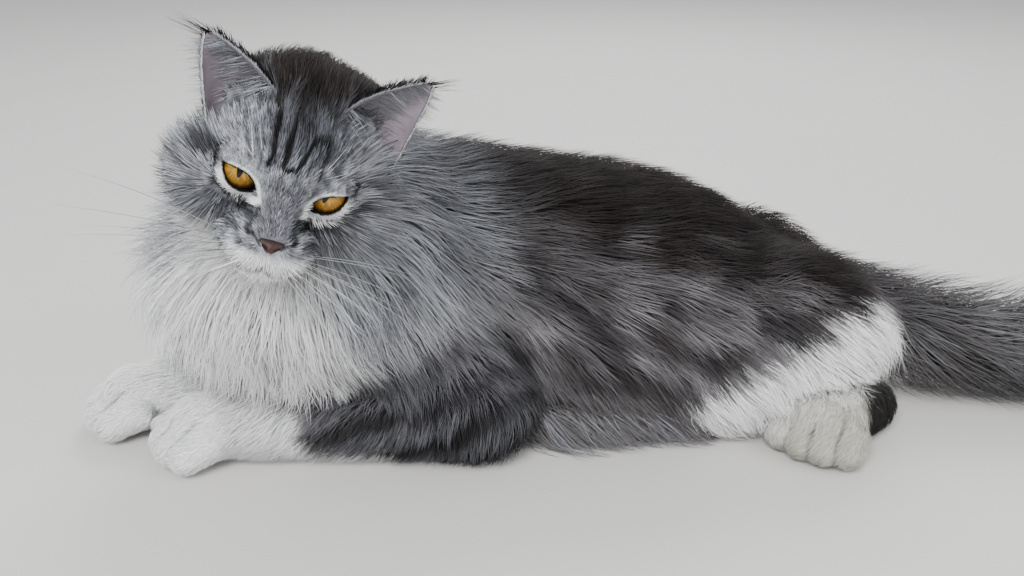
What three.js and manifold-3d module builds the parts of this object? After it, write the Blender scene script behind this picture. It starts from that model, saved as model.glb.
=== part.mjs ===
// A large long-haired cat lying on its belly, forelegs stretched forward, its head turned to its left.
// Millimetres. The floor is z = 0, +X runs from chest to tail, -Y is the cat's left side, +Z is up.
// The flesh is a few blended ellipsoids and tapered cones, each with the depth of coat that grows on it.
// A node's core is a three.js capsule or sphere pushed out to that flesh, and flat tapered locks grow on it.
import * as THREE from "three";
import Module from "manifold-3d";
import { mergeVertices } from "three/addons/utils/BufferGeometryUtils.js";

const wasm = await Module();
wasm.setup();

// Driving dimensions
const GAP = 0.3; // between nodes that touch
const CORE_SHARE = 0.5; // of the coat's depth that a node's core takes in
const BODY_BLEND = 34; // how softly body forms run together
const LIMB_BLEND = 14;
const HEAD_BLEND = 11;
const EYE = [21.5, -29, 0]; // the cat's left eye, in the head's frame
const EYE_RADIUS = 10.8;
const EYE_SLANT = { left: 33, right: 26 }; // degrees that the outer corner is raised
const LID = 1.6; // thickness of the lids over the eye

const vec = (x, y, z) => new THREE.Vector3(x, y, z);
const mirrored = (list) => [...list, ...list.map((f) => f.mirror())];

// Flesh forms: an ellipsoid, and a cone with round ends, each with its depth of coat
function ellipsoid(centre, radii, coat) {
  const c = vec(...centre);
  const r = vec(...radii);
  return {
    distance(p, share) {
      const grow = coat * share;
      const rx = r.x + grow;
      const ry = r.y + grow;
      const rz = r.z + grow;
      const x = p.x - c.x;
      const y = p.y - c.y;
      const z = p.z - c.z;
      const k0 = Math.hypot(x / rx, y / ry, z / rz);
      const k1 = Math.hypot(x / rx ** 2, y / ry ** 2, z / rz ** 2);
      return k1 < 1e-9 ? -Math.min(rx, ry, rz) : (k0 * (k0 - 1)) / k1;
    },
    mirror: () => ellipsoid([-centre[0], centre[1], centre[2]], radii, coat),
  };
}

function cone(start, end, radii, coats) {
  const a = vec(...start);
  const along = vec(...end).sub(a);
  const squared = along.lengthSq();
  return {
    distance(p, share) {
      const t = THREE.MathUtils.clamp(p.clone().sub(a).dot(along) / squared, 0, 1);
      const radius = THREE.MathUtils.lerp(...radii, t) + share * THREE.MathUtils.lerp(...coats, t);
      return p.distanceTo(a.clone().addScaledVector(along, t)) - radius;
    },
    mirror: () => cone([-start[0], start[1], start[2]], [-end[0], end[1], end[2]], radii, coats),
  };
}

// The surface where the blended forms, with a share of their coats, end: negative inside
function flesh(forms, blend) {
  return (p, share = 0) => {
    let d = Infinity;
    for (const form of forms) {
      const next = form.distance(p, share);
      const h = Math.max(blend - Math.abs(d - next), 0);
      d = Math.min(d, next) - (Number.isFinite(d) ? (h * h) / (4 * blend) : 0);
    }
    return d;
  };
}

// Several fleshes run together
function blended(fields, blend) {
  return (p, share = 0) => {
    let d = fields[0](p, share);
    for (const field of fields.slice(1)) {
      const next = field(p, share);
      const h = Math.max(blend - Math.abs(d - next), 0);
      d = Math.min(d, next) - (h * h) / (4 * blend);
    }
    return d;
  };
}

function outward(field, p, share) {
  const e = 0.5;
  const g = vec(
    field(vec(p.x + e, p.y, p.z), share) - field(vec(p.x - e, p.y, p.z), share),
    field(vec(p.x, p.y + e, p.z), share) - field(vec(p.x, p.y - e, p.z), share),
    field(vec(p.x, p.y, p.z + e), share) - field(vec(p.x, p.y, p.z - e), share),
  );
  return g.normalize();
}

// How far from an inner point the surface lies in one direction
function reach(field, origin, direction, share, grow = 0) {
  const at = (r) => field(origin.clone().addScaledVector(direction, r), share) - grow;
  let low = 0;
  let high = 1;
  while (at(high) < 0 && high < 300) {
    low = high;
    high += 5;
  }
  for (let i = 0; i < 12; i++) {
    const middle = (low + high) / 2;
    if (at(middle) < 0) low = middle;
    else high = middle;
  }
  return high;
}

// Places along a smooth spine, each with a frame to look out from
function spineOf(points) {
  const curve = new THREE.CatmullRomCurve3(points.map((p) => vec(...p)), false, "centripetal");
  return (s) => {
    const at = curve.getPoint(s);
    const tangent = curve.getTangent(s);
    const side = vec(0, 0, 1).cross(tangent).normalize();
    if (side.lengthSq() < 0.5) side.set(0, 1, 0);
    return { at, tangent, side, up: tangent.clone().cross(side).normalize() };
  };
}

// A closed mesh's positions alone, each shared by the faces that meet there
function bare(geometry, tolerance = 1e-4) {
  for (const name of Object.keys(geometry.attributes)) {
    if (name !== "position") geometry.deleteAttribute(name);
  }
  return mergeVertices(geometry, tolerance);
}

// A capsule whose wall is pushed out from a spine to the flesh
function wrapSpine(spine, field, { around = 16, along = 8, caps = 3, share = CORE_SHARE, grow = 0 }) {
  const capsule = bare(new THREE.CapsuleGeometry(1, 1, caps, around, along));
  const position = capsule.attributes.position;
  for (let i = 0; i < position.count; i++) {
    const p = vec().fromBufferAttribute(position, i);
    const station = THREE.MathUtils.clamp(p.y, -0.5, 0.5);
    const { at, tangent, side, up } = spine(station + 0.5);
    const direction = vec(0, 0, 0)
      .addScaledVector(side, p.x)
      .addScaledVector(up, -p.z)
      .addScaledVector(tangent, p.y - station)
      .normalize();
    at.addScaledVector(direction, reach(field, at, direction, share, grow));
    position.setXYZ(i, at.x, at.y, at.z);
  }
  return capsule;
}

// A sphere whose wall is pushed out from one point to the flesh
function wrapPoint(centre, field, { around = 24, rows = 18, share = CORE_SHARE, grow = 0, axis = "z" }) {
  const sphere = bare(new THREE.SphereGeometry(1, around, rows));
  if (axis === "y") sphere.rotateX(Math.PI);
  if (axis === "z") sphere.rotateX(Math.PI / 2);
  const position = sphere.attributes.position;
  for (let i = 0; i < position.count; i++) {
    const direction = vec().fromBufferAttribute(position, i).normalize();
    const p = centre.clone().addScaledVector(direction, reach(field, centre, direction, share, grow));
    position.setXYZ(i, p.x, p.y, p.z);
  }
  return sphere;
}

// Solids
function closed(geometry) {
  return new wasm.Manifold(
    new wasm.Mesh({
      numProp: 3,
      vertProperties: new Float32Array(geometry.attributes.position.array),
      triVerts: new Uint32Array(geometry.index.array),
    }),
  );
}

function solid(geometry, matrix) {
  const merged = bare(geometry.clone());
  return closed(matrix ? merged.applyMatrix4(matrix) : merged);
}

function meshOf(made) {
  const mesh = made.getMesh();
  const g = new THREE.BufferGeometry();
  g.setAttribute("position", new THREE.BufferAttribute(mesh.vertProperties, 3));
  return g.setIndex(new THREE.BufferAttribute(mesh.triVerts, 1));
}

const join = (solids) => wasm.Manifold.union(solids);

function box(low, high, matrix) {
  const size = high.map((v, i) => v - low[i]);
  const g = new THREE.BoxGeometry(...size);
  g.translate(low[0] + size[0] / 2, low[1] + size[1] / 2, low[2] + size[2] / 2);
  return solid(g, matrix);
}

// The outer surface of a cut's largest piece, until merging points a micrometre apart frees no other
function largest(made) {
  let pieces = made.decompose();
  let kept;
  do {
    kept = pieces.sort((a, b) => b.volume() - a.volume())[0];
    pieces = closed(bare(meshOf(kept), 1e-3)).decompose();
  } while (pieces.length > 1);
  return kept;
}

// The head's own frame: x to its left, y backward, z up, its origin level with the eyes
const HEAD_AT = vec(-225, -92, 211);
const HEAD_HEADING = 6; // degrees that the face is turned from straight -Y
const HEAD_ROLL = 22.5;
const HEAD_NOD = 14;
const degrees = THREE.MathUtils.degToRad;
const headFrame = new THREE.Matrix4()
  .makeTranslation(HEAD_AT)
  .multiply(new THREE.Matrix4().makeRotationZ(degrees(HEAD_HEADING)))
  .multiply(new THREE.Matrix4().makeRotationY(degrees(HEAD_ROLL)))
  .multiply(new THREE.Matrix4().makeRotationX(degrees(HEAD_NOD)));

// Flesh, by part
const torsoFlesh = flesh(
  [
    ellipsoid([-95, 0, 90], [125, 66, 80], 18),
    ellipsoid([-150, 0, 128], [62, 46, 44], 20),
    ellipsoid([-5, -4, 72], [92, 74, 76], 18),
    ellipsoid([92, -10, 50], [80, 64, 42], 20),
    ellipsoid([-222, -2, 84], [54, 46, 56], 30),
  ],
  BODY_BLEND,
);
const neckFlesh = flesh(
  [
    cone([-165, -6, 116], [-212, -60, 176], [56, 42], [26, 30]),
    ellipsoid([-248, -2, 108], [50, 40, 46], 44),
    ellipsoid([-228, -52, 140], [44, 36, 42], 36),
  ],
  BODY_BLEND,
);
const tailPath = [
  [150, -8, 62],
  [205, -34, 44],
  [280, -54, 40],
  [380, -70, 38],
  [470, -100, 26],
];
const tailRadii = [20, 13, 10, 8, 5];
const tailCoats = [18, 30, 31, 29, 17];
const tailFlesh = flesh(
  tailPath
    .slice(1)
    .map((p, i) =>
      cone(tailPath[i], p, [tailRadii[i], tailRadii[i + 1]], [tailCoats[i], tailCoats[i + 1]]),
    ),
  LIMB_BLEND,
);

const headForms = [
  ellipsoid([0, 6, 0], [36, 45, 33], 4),
  ellipsoid([4, 22, 23], [27, 23, 18], 12),
  ellipsoid([30, 25, 22], [19, 17, 17], 13),
  ellipsoid([-23, 25, 15], [19, 17, 15], 13),
  ellipsoid([0, -20, 12], [27, 22, 20], 3),
  cone([0, -28, 0], [0, -47, -19], [14, 9.5], [2, 2]),
  ellipsoid([0, -42, -39], [11, 12, 8], 4),
  cone([0, -26, -29], [0, 6, -26], [17, 26], [4, 18]),
  ...mirrored([
    ellipsoid([28, -4, -18], [20, 24, 18], 20),
    ellipsoid([9.5, -46, -28], [13, 13, 10], 3),
  ]),
];
const headFlesh = flesh(headForms, HEAD_BLEND);

// A foreleg is an upper arm, a forearm and a paw with four toes
function foreleg({ shoulder, elbow, wrist, palm, heading }) {
  const raised = [elbow[0], elbow[1], elbow[2] + 8];
  return {
    upper: {
      points: [shoulder, raised],
      flesh: flesh([cone(shoulder, raised, [36, 26], [16, 12])], LIMB_BLEND),
    },
    lower: {
      points: [elbow, wrist],
      flesh: flesh([cone(elbow, wrist, [24, 17], [10, 6])], LIMB_BLEND),
    },
    paw: paw(wrist, palm, heading, { length: 28, width: 22, height: 18, toe: 9 }),
  };
}

function paw(wrist, palm, heading, { length, width, height, toe }) {
  const forward = vec(-Math.cos(degrees(heading)), -Math.sin(degrees(heading)), 0);
  const across = vec(-forward.y, forward.x, 0);
  const toes = [-1.5, -0.5, 0.5, 1.5].map((i) => {
    const ahead = length * (0.72 - 0.09 * i * i);
    const tip = vec(...palm).addScaledVector(forward, ahead).addScaledVector(across, i * width * 0.56);
    const root = tip.clone().addScaledVector(forward, -length * 0.5);
    return { root: [root.x, root.y, height], tip: [tip.x, tip.y, height * 0.72], radius: toe };
  });
  const forms = [
    cone(wrist, palm, [16, 19], [6, 5]),
    ...toes.map(({ root, tip, radius }) => cone(root, tip, [radius * 1.05, radius], [4, 4])),
  ];
  return { wrist, toes, forward, flesh: flesh(forms, 5) };
}

const leftFore = foreleg({
  shoulder: [-178, -48, 100],
  elbow: [-122, -62, 30],
  wrist: [-262, -40, 24],
  palm: [-297, -34, 22],
  heading: 22,
});
const rightFore = foreleg({
  shoulder: [-178, 44, 100],
  elbow: [-142, 58, 30],
  wrist: [-312, 18, 24],
  palm: [-347, 12, 22],
  heading: 14,
});

// A hind leg is a thigh, a shin folded back along the floor, and a long foot
function hindleg({ thigh, knee, hock, ball, heading }) {
  return {
    upper: {
      points: [
        [thigh[0] + 30, thigh[1], thigh[2]],
        [knee[0] + 6, knee[1], knee[2]],
      ],
      flesh: flesh([ellipsoid(thigh, [62, 38, 50], 18), ellipsoid(knee, [30, 21, 32], 14)], LIMB_BLEND),
    },
    paw: paw(hock, ball, heading, { length: 24, width: 19, height: 16, toe: 8 }),
  };
}
const leftHind = hindleg({
  thigh: [80, -48, 62],
  knee: [42, -66, 40],
  hock: [138, -74, 17],
  ball: [92, -97, 18],
  heading: 30,
});
const rightHind = hindleg({
  thigh: [80, 40, 62],
  knee: [38, 62, 40],
  hock: [140, 56, 17],
  ball: [62, 76, 18],
  heading: -8,
});

// Cores, and the larger envelopes that part them
const spineTorso = spineOf([
  [-215, -2, 86],
  [-100, 0, 88],
  [20, -4, 76],
  [108, -10, 56],
]);
const spineNeck = spineOf([
  [-190, -10, 100],
  [-222, -46, 140],
]);
const spineTail = spineOf(tailPath);

const torsoCore = solid(wrapSpine(spineTorso, torsoFlesh, { around: 20, along: 12, caps: 3 }));
const neckCore = solid(wrapSpine(spineNeck, neckFlesh, { around: 16, along: 4, caps: 3 }));
const tailCore = solid(wrapSpine(spineTail, tailFlesh, { around: 10, along: 9, caps: 2 }));

const limb = (segment, options) => solid(wrapSpine(spineOf(segment.points), segment.flesh, options));
const limbRound = { around: 10, along: 3, caps: 2 };
const legs = {
  foreleg_left: [leftFore.upper, leftFore.lower],
  foreleg_right: [rightFore.upper, rightFore.lower],
  hindleg_left: [leftHind.upper],
  hindleg_right: [rightHind.upper],
};
const limbCores = Object.values(legs).flat().map((segment) => limb(segment, limbRound));

function pawSpine({ wrist, toes, forward }) {
  const middle = vec(...toes[1].tip).lerp(vec(...toes[2].tip), 0.5).addScaledVector(forward, -2);
  return spineOf([[wrist[0], wrist[1], 22], middle.toArray()]);
}
const pawRound = { around: 14, along: 3, caps: 3, share: 1 };
const paws = {
  forepaw_left: leftFore.paw,
  forepaw_right: rightFore.paw,
  hindpaw_left: leftHind.paw,
  hindpaw_right: rightHind.paw,
};
const pawCores = Object.values(paws).map((p) =>
  solid(wrapSpine(pawSpine(p), p.flesh, pawRound)),
);

// Head: skull, muzzle and cheeks, then lids, nostrils and mouth
const inHead = (geometry) => solid(geometry, headFrame);
const skull = inHead(wrapPoint(vec(0, -8, -4), headFlesh, { around: 24, rows: 16, axis: "y" }));

function ball(centre, radius, rows = 7) {
  const g = new THREE.SphereGeometry(radius, rows * 2, rows);
  return inHead(g.translate(...centre));
}

const handOf = (side) => (side > 0 ? "left" : "right");

// The opening between the lids, an almond seen from the front, pushed through them
function lidOpening(side) {
  const half = 10.2;
  const almond = new THREE.Shape();
  almond.moveTo(-half, 0);
  almond.bezierCurveTo(-half * 0.5, 6, half * 0.5, 6, half, 0);
  almond.bezierCurveTo(half * 0.5, -6.3, -half * 0.5, -6.3, -half, 0);
  const g = new THREE.ExtrudeGeometry(almond, { depth: 24, bevelEnabled: false, curveSegments: 7 });
  g.rotateX(degrees(90)).rotateY(degrees(-side * EYE_SLANT[handOf(side)]));
  g.translate(side * EYE[0], EYE[1] - 2, EYE[2] - 0.6);
  return inHead(g);
}

function groove(points, radius) {
  const spine = spineOf(points);
  const g = bare(new THREE.CapsuleGeometry(1, 1, 1, 4, points.length * 2));
  const position = g.attributes.position;
  for (let i = 0; i < position.count; i++) {
    const p = vec().fromBufferAttribute(position, i);
    const station = THREE.MathUtils.clamp(p.y, -0.5, 0.5);
    const { at, tangent, side, up } = spine(station + 0.5);
    at.addScaledVector(side, p.x * radius).addScaledVector(up, -p.z * radius);
    at.addScaledVector(tangent, (p.y - station) * radius);
    position.setXYZ(i, at.x, at.y, at.z);
  }
  return inHead(g);
}

// A point of the face as seen from the front, on the head's surface
const onFace = (x, z, sink = 0) => {
  const from = vec(x, -20, z);
  const forward = vec(0, -1, 0);
  return [x, -20 - reach(headFlesh, from, forward, CORE_SHARE) + sink, z];
};

// A place in an ear: t from base to tip, u across from -1 to 1, v from its back to its open front
function earPoint({ base, tip, facing, width, depth, front, inner, grow = 0 }, t, u, v) {
  const along = vec(...tip).sub(vec(...base));
  const out = vec(...facing).projectOnPlane(along.clone().normalize()).normalize();
  const across = along.clone().cross(out).normalize();
  const taper = Math.pow(Math.max(1 - t, 0), 0.66);
  const swell = u * inner > 0 ? 1 + 0.3 * Math.sin(Math.PI * t) : 1;
  const deep = (v > 0 ? front : depth) * taper + grow;
  return vec(...base)
    .addScaledVector(along, t + (grow * t) / along.length())
    .addScaledVector(across, u * (width * taper * swell + grow))
    .addScaledVector(out, v * deep - 4 * Math.sin(Math.PI * t));
}

// An ear is a cup: a flat-fronted cone, hollowed from its front
function earCone(shape) {
  const g = bare(new THREE.ConeGeometry(1, 1, 14, 4));
  const position = g.attributes.position;
  for (let i = 0; i < position.count; i++) {
    const t = position.getY(i) + 0.5;
    const round = t < 1 ? 1 / (1 - t) : 0;
    const p = earPoint(shape, t, position.getX(i) * round, position.getZ(i) * round);
    position.setXYZ(i, p.x, p.y, p.z);
  }
  return inHead(g);
}

const earPlace = {
  ear_left: { base: [34, 1, 8], tip: [54.6, -3, 63], facing: [0.08, -1, 0.1], width: 22, inner: -1 },
  ear_right: { base: [-21, 1, 4], tip: [-53, -3, 50], facing: [0, -1, 0.15], width: 20.5, inner: 1 },
};
const earShape = { depth: 12, front: 5 };
const earEnvelope = (place, grow) => earCone({ ...place, ...earShape, grow });
function earCup(place) {
  const lifted = vec(...place.base).lerp(vec(...place.tip), 0.3).toArray();
  const hollow = { width: place.width - 5, depth: 8.5, front: 30 };
  return earCone({ ...place, ...hollow, base: lifted, grow: -1.2 });
}

// Two wisps at the tip of an ear, and tufts that cross its cup from the inner edge
function earTufts(place, side, grow = 0) {
  const at = (t, u, v) => earPoint({ ...place, ...earShape }, t, side * u, v).toArray();
  const [x, y, z] = at(0.9, 0, -0.5);
  const grown = (width, thickness) => [place.facing, width + 2 * grow, thickness + 2 * grow];
  const wisps = [2, 6].map((lean) =>
    tuft([[x, y, z], [x + side * lean, y, z + 12], [x + side * lean * 2.4, y + 2, z + 22]], ...grown(5, 4)),
  );
  const furnishings = [0.42, 0.54].map((t) =>
    tuft([at(t, -0.94, 0), at(t + 0.1, -0.2, 0.7), at(t + 0.14, 0.5, 1)], ...grown(7, 3)),
  );
  return [...wisps, ...furnishings];
}

const noseShape = { centre: [0, -56.5, -20.5], radii: [7, 5.5, 5.5] };
function nosePad(grow) {
  const g = new THREE.SphereGeometry(1, 12, 8);
  g.scale(...noseShape.radii.map((r) => r + grow)).translate(...noseShape.centre);
  return inHead(g);
}
const nostril = (side) => {
  const g = new THREE.SphereGeometry(1, 6, 4);
  g.scale(1.5, 3, 1.1).rotateY(degrees(side * 25)).translate(side * 3.6, -61.5, -22);
  return inHead(g);
};

const eyeAt = (side) => [side * EYE[0], EYE[1], EYE[2]];
const sides = [1, -1];
const head = join([skull, ...sides.map((side) => ball(eyeAt(side), EYE_RADIUS + GAP + LID))]);
const mouth = [
  groove([onFace(0, -25), onFace(0, -29), onFace(0, -33)], 0.8),
  ...sides.map((side) =>
    groove([onFace(0, -33), onFace(side * 5, -36.5), onFace(side * 12, -37), onFace(side * 19, -34)], 0.9),
  ),
];

// A lock is a flat tapered cone laid along a path of places, each with its normal and direction
function layLock(path, width, thickness) {
  const g = bare(new THREE.ConeGeometry(1, 1, 3, 3));
  const position = g.attributes.position;
  for (let i = 0; i < position.count; i++) {
    const p = vec().fromBufferAttribute(position, i);
    const s = p.y + 0.5;
    const { at, tangent, normal } = path(s);
    const taper = s < 1 ? (Math.min(1, 0.7 + s) * (1 - s ** 2.5)) / (1 - s) : 0;
    const across = tangent.clone().cross(normal).normalize();
    at.addScaledVector(across, (p.x * taper * width) / 2);
    at.addScaledVector(normal, (p.z * taper * thickness) / 2);
    position.setXYZ(i, at.x, at.y, at.z);
  }
  return solid(g);
}

// From its root under the core's surface a lock climbs to the coat's tips while it follows the lie
function lock(field, root, { lie, length, width, thickness, rise = 1, sink = 0.5 }) {
  const steps = 8;
  const places = [];
  const p = root.clone();
  const tangent = vec(0, 0, 0);
  for (let i = 0; i <= steps; i++) {
    const share = THREE.MathUtils.lerp(-sink, rise, Math.sqrt(i / steps));
    const normal = outward(field, p, share);
    for (let k = 0; k < 3; k++) p.addScaledVector(normal, -field(p, share));
    tangent.add(lie(p).normalize()).projectOnPlane(normal).normalize();
    places.push({ at: p.clone(), normal, tangent: tangent.clone() });
    p.addScaledVector(tangent, length / steps);
  }
  const path = (s) => {
    const k = Math.min(Math.floor(s * steps), steps - 1);
    const t = s * steps - k;
    const mix = (key) => places[k][key].clone().lerp(places[k + 1][key], t);
    return { at: mix("at"), normal: mix("normal").normalize(), tangent: mix("tangent").normalize() };
  };
  return layLock(path, width, thickness);
}

// A free tuft, such as an ear's, along a curve of its own
function tuft(points, facing, width, thickness) {
  const curve = new THREE.CatmullRomCurve3(points.map((q) => vec(...q).applyMatrix4(headFrame)));
  const normal = vec(...facing).transformDirection(headFrame);
  return layLock((s) => ({ at: curve.getPoint(s), tangent: curve.getTangent(s), normal }), width, thickness);
}

// Seeded numbers, so that every run gives the same coat
let seed = 9;
function random() {
  seed = (seed * 1664525 + 1013904223) % 4294967296;
  return seed / 4294967296;
}
const vary = (amount) => 1 + amount * (2 * random() - 1);

const headInverse = headFrame.clone().invert();
const headField = (p, share) => headFlesh(p.clone().applyMatrix4(headInverse), share);
const limbFields = Object.values(legs).flat().map((segment) => segment.flesh);
const pawFields = Object.values(paws).map((p) => p.flesh);
const bodyField = blended([torsoFlesh, neckFlesh, tailFlesh, ...limbFields], LIMB_BLEND);
const catField = blended([bodyField, headField, ...pawFields], LIMB_BLEND);

// Roots in staggered rows round a spine, left out where another part of the body covers them
function rootsRound(spine, field, { rows, columns, from = 0, to = 1, low = -180, high = 180, cover = 6 }) {
  const roots = [];
  for (let i = 0; i < rows; i++) {
    for (let j = 0; j < columns; j++) {
      const s = THREE.MathUtils.lerp(from, to, (i + 0.25 * (vary(1) - 1)) / Math.max(rows - 1, 1));
      const turn = (j + 0.5 * (i % 2) + 0.25 * vary(1)) / columns;
      const a = degrees(THREE.MathUtils.lerp(low, high, turn));
      const { at, side, up } = spine(THREE.MathUtils.clamp(s, 0, 1));
      const direction = up.multiplyScalar(Math.cos(a)).addScaledVector(side, Math.sin(a));
      const root = at.addScaledVector(direction, reach(field, at, direction, 0.3));
      if (catField(root, 0.3) > -cover && root.z > 8) roots.push(root);
    }
  }
  return roots;
}

const coat = (roots, { length, width, thickness, ...rest }) =>
  roots.map((root) =>
    lock(catField, root, {
      length: length * vary(0.15),
      width: width * vary(0.15),
      thickness: thickness * vary(0.15),
      ...rest,
    }),
  );

// The lie of the coat, by region
const toWorld = (x, y, z) => vec(x, y, z).applyMatrix4(headFrame);
const alongHead = (x, y, z) => vec(x, y, z).transformDirection(headFrame);
const lies = {
  flank: (p) => vec(1, 0, -THREE.MathUtils.clamp((165 - p.z) / 110, 0.05, 1.3)),
  fringe: (p) => vec(0.5, 0.5 * Math.sign(p.y), -1),
  ruff: (p) => p.clone().sub(HEAD_AT).normalize().add(vec(-0.1, 0, -0.35)),
  thigh: () => vec(0.8, 0, -0.75),
  tail: () => vec(1, -0.25, -0.1),
  arm: () => vec(0.55, 0, -0.9),
  cheek: (p) => p.clone().sub(toWorld(0, -40, 10)).normalize().add(vec(0, 0, -0.3)),
  crown: () => alongHead(0, 0.7, 0.7),
};

const ruffSpine = spineOf([
  [-222, -10, 66],
  [-234, -10, 162],
]);
const ruffRows = { rows: 4, columns: 9, low: 40, high: 320, cover: 20 };
const limbSpine = (part) => spineOf(part.points);
const torsoRows = { rows: 6, columns: 9, from: 0.26, to: 1, low: -108, high: 108 };
const fringeRows = { rows: 6, columns: 1, from: 0.34, to: 0.92 };
const fringeRoots = rootsRound(spineTorso, torsoFlesh, { ...fringeRows, low: 108, high: 120 });
const nearFringe = rootsRound(spineTorso, torsoFlesh, { ...fringeRows, low: -120, high: -108 });
const cheekSpine = (side) =>
  spineOf([
    toWorld(side * 12, 2, -14).toArray(),
    toWorld(side * 24, 2, -20).toArray(),
  ]);
const cheekRows = { rows: 1, columns: 6, cover: 14 };
const tailRows = { rows: 5, columns: 4, from: 0.12, to: 0.84, low: -150, high: 150 };

const locks = [
  ...coat(rootsRound(spineTorso, torsoFlesh, torsoRows), {
    lie: lies.flank,
    length: 92,
    width: 48,
    thickness: 11,
  }),
  ...coat([...fringeRoots, ...nearFringe], { lie: lies.fringe, length: 48, width: 44, thickness: 9 }),
  ...coat(rootsRound(ruffSpine, neckFlesh, ruffRows), {
    lie: lies.ruff,
    length: 64,
    width: 36,
    thickness: 15,
    sink: -0.2,
  }),
  ...coat(rootsRound(spineTail, tailFlesh, tailRows), {
    lie: lies.tail,
    length: 100,
    width: 42,
    thickness: 10,
  }),
  ...[leftHind, rightHind].flatMap((leg) =>
    coat(rootsRound(limbSpine(leg.upper), leg.upper.flesh, { rows: 3, columns: 5 }), {
      lie: lies.thigh,
      length: 58,
      width: 38,
      thickness: 9,
    }),
  ),
  ...[leftFore, rightFore].flatMap((leg) =>
    coat(rootsRound(limbSpine(leg.upper), leg.upper.flesh, { rows: 2, columns: 5, from: 0.45 }), {
      lie: lies.arm,
      length: 46,
      width: 34,
      thickness: 7,
    }),
  ),
  ...[-9, 1, 11].map((x) =>
    tuft([[x * 0.8, 18, 28], [x, 13, 47], [x * 1.2, 12, 60]], [0, -1, 0.2], 17, 8),
  ),
  ...sides.flatMap((side) =>
    coat(rootsRound(cheekSpine(side), headField, cheekRows), {
      lie: lies.cheek,
      length: 40,
      width: 22,
      thickness: 8,
    }),
  ),
];

// Everything in one, cut off level with the floor
const floorSlab = box([-600, -400, -120], [700, 400, 0]);
const cores = [torsoCore, neckCore, tailCore, head, ...limbCores, ...pawCores];
const whole = join([...cores, ...locks]).subtract(floorSlab);

// Parting: each node is what lies in its region, less the gap to those before it
const nodes = {};
let left = whole;
function part(name, region, grown) {
  nodes[name] = largest(left.intersect(region));
  left = left.subtract(grown);
}

for (const side of sides) {
  const hand = handOf(side);
  const place = earPlace[`ear_${hand}`];
  const ear = join([earEnvelope(place, 0).subtract(earCup(place)), ...earTufts(place, side)]);
  nodes[`ear_${hand}`] = largest(ear);
  nodes[`eye_${hand}`] = ball(eyeAt(side), EYE_RADIUS);
  left = left.subtract(join([earEnvelope(place, GAP), ...earTufts(place, side, GAP)]));
  left = left.subtract(join([ball(eyeAt(side), EYE_RADIUS + GAP), lidOpening(side)]));
}
nodes.nose = nosePad(0).subtract(join(sides.map(nostril)));
left = left.subtract(nosePad(GAP)).subtract(join(mouth));

const regionRound = { around: 8, along: 2, caps: 2, share: 1 };
const loose = 3; // that a region leaves round the coat tips of its own node
for (const [name, p] of Object.entries(paws)) {
  const region = (grow) => solid(wrapSpine(pawSpine(p), p.flesh, { ...pawRound, grow }));
  part(name, region(1), region(1 + GAP));
}
for (const [name, leg] of Object.entries(legs)) {
  const region = (grow) => join(leg.map((segment) => limb(segment, { ...regionRound, grow })));
  part(name, region(loose), region(loose + GAP));
}
const headRegion = (grow) =>
  inHead(wrapPoint(vec(0, -8, -4), headFlesh, { around: 14, rows: 9, share: 1, grow }));
part("head", headRegion(3 * loose), headRegion(3 * loose + GAP));

// The neck and ruff lie ahead of a slanting plane, the tail behind the rump
function slab(at, normal, depth) {
  const frame = new THREE.Matrix4().lookAt(vec(0, 0, 0), vec(...normal).negate(), vec(0, 1, 0));
  frame.setPosition(vec(...at));
  return (grow) => box([-500, -500, -grow], [500, 500, depth], frame);
}
const neckRegion = slab([-175, 0, 130], [-0.75, -0.25, 0.6], 600);
part("neck", neckRegion(0), neckRegion(GAP));
const tailCuts = { tail_tip: 368, tail_middle: 282, tail_base: 188 };
for (const [name, x] of Object.entries(tailCuts)) {
  const region = slab([x, 0, 0], [1, -0.2, -0.1], 600);
  part(name, region(0), region(GAP));
}
nodes.torso = largest(left);

const colours = {
  torso: 0x6f6a66,
  neck: 0xb9b8b8,
  head: 0x9a999b,
  nose: 0x8a4a3a,
  eye: 0xc98a2c,
  ear: 0x8f8088,
  forepaw: 0xe6e4e0,
  hindpaw: 0xe6e4e0,
  foreleg: 0xa5a3a1,
  hindleg: 0x8d8a88,
  tail: 0x77757a,
};
const group = new THREE.Group();
for (const [name, made] of Object.entries(nodes)) {
  const shiny = name.startsWith("eye") || name === "nose";
  const material = new THREE.MeshStandardMaterial({
    color: colours[name.split("_")[0]],
    roughness: shiny ? 0.25 : 0.9,
    metalness: 0,
  });
  const node = new THREE.Mesh(meshOf(made), material);
  node.name = name;
  group.add(node);
}

export default group;
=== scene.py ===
import math

import bpy
import numpy as np
from mathutils import Matrix, Vector, kdtree


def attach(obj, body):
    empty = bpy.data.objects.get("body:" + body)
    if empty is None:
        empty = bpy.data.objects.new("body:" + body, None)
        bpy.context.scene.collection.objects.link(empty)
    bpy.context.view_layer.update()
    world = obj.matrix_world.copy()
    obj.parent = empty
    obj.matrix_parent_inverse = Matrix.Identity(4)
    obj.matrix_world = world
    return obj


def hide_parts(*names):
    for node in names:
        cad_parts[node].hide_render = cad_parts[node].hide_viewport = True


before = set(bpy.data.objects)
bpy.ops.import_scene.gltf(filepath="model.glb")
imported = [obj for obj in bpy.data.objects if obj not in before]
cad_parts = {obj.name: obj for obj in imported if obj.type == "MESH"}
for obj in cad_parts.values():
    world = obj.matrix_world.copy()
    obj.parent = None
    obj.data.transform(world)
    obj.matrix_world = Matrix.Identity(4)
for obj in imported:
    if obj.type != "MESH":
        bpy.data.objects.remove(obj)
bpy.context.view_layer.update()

chance = np.random.default_rng(11)

# Small helpers for arrays of points, in millimetres


def lerp(a, b, t):
    return a + (b - a) * t


def smooth(low, high, x):
    t = np.clip((x - low) / (high - low), 0, 1)
    return t * t * (3 - 2 * t)


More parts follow.
